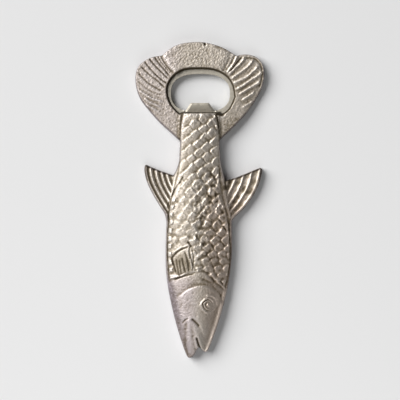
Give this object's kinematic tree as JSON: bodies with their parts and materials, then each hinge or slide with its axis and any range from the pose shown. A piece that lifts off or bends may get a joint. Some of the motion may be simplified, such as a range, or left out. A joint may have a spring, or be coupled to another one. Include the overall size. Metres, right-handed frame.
{
  "type": "bottle opener",
  "caption": "Cast-metal bottle opener shaped like a fish, head down, with its tail spread round a pressed-steel opener ring that has a lifting tab.",
  "frame": {"origin": "middle of the footprint, on the flat back that it lies on", "axes": "+Z is the sculpted face, +Y points from the fish's nose to its tail, +X is to the right seen from the face"},
  "size_m": [0.0689, 0.1686, 0.0124],
  "materials": {
    "cast_metal": "satin nickel over a sand-cast surface",
    "pressed_steel": "dull pressed steel",
    "adhesive": "hardened adhesive"
  },
  "bodies": {
    "root": {"fish_casting": "cast_metal", "opener_insert": "pressed_steel", "insert_adhesive": "adhesive"}
  },
  "joints": []
}
